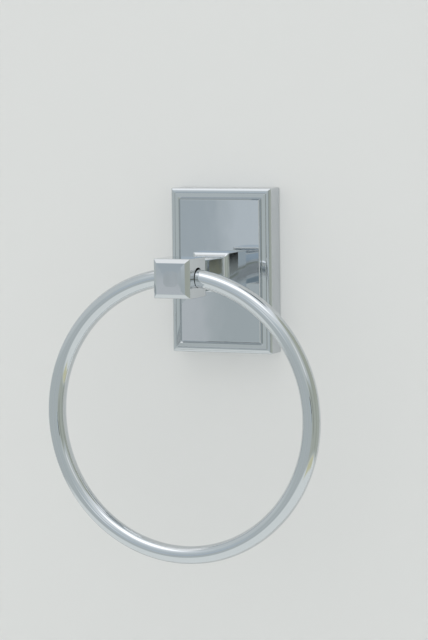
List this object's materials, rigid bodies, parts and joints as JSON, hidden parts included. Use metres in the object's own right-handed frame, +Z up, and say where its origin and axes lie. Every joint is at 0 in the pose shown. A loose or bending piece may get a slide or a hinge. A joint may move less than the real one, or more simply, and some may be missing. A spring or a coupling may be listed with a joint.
{
  "type": "towel ring",
  "caption": "Wall-mounted towel ring: a loose round ring hangs through the square head of a post on a rectangular back plate with a grooved panel.",
  "frame": {"origin": "on the wall, behind the middle of the back plate", "axes": "+Z up, -Y out of the wall along the post, +X to the right seen from the room; the ring hangs straight down"},
  "size_m": [0.165, 0.0808, 0.2066],
  "materials": {
    "chrome_casting": "polished",
    "chrome_rod": "polished",
    "zinc_plated_sheet": "bright zinc plated",
    "zinc_plated_fastener": "bright zinc plated",
    "blackened_steel": "black oxide"
  },
  "bodies": {
    "wall_mount": {"back_plate": "chrome_casting", "post": "chrome_casting", "wall_bracket": "zinc_plated_sheet", "lock_washer": "zinc_plated_fastener", "post_screw": "zinc_plated_fastener", "set_screw": "blackened_steel"},
    "hanging_ring": {"ring": "chrome_rod"}
  },
  "joints": [
    {"name": "ring_swing", "type": "hinge", "parent": "wall_mount", "child": "hanging_ring", "pos_m": [0, -0.0681, 0], "axis": [-1, 0, 0], "range_deg": [-24, 204]}
  ]
}
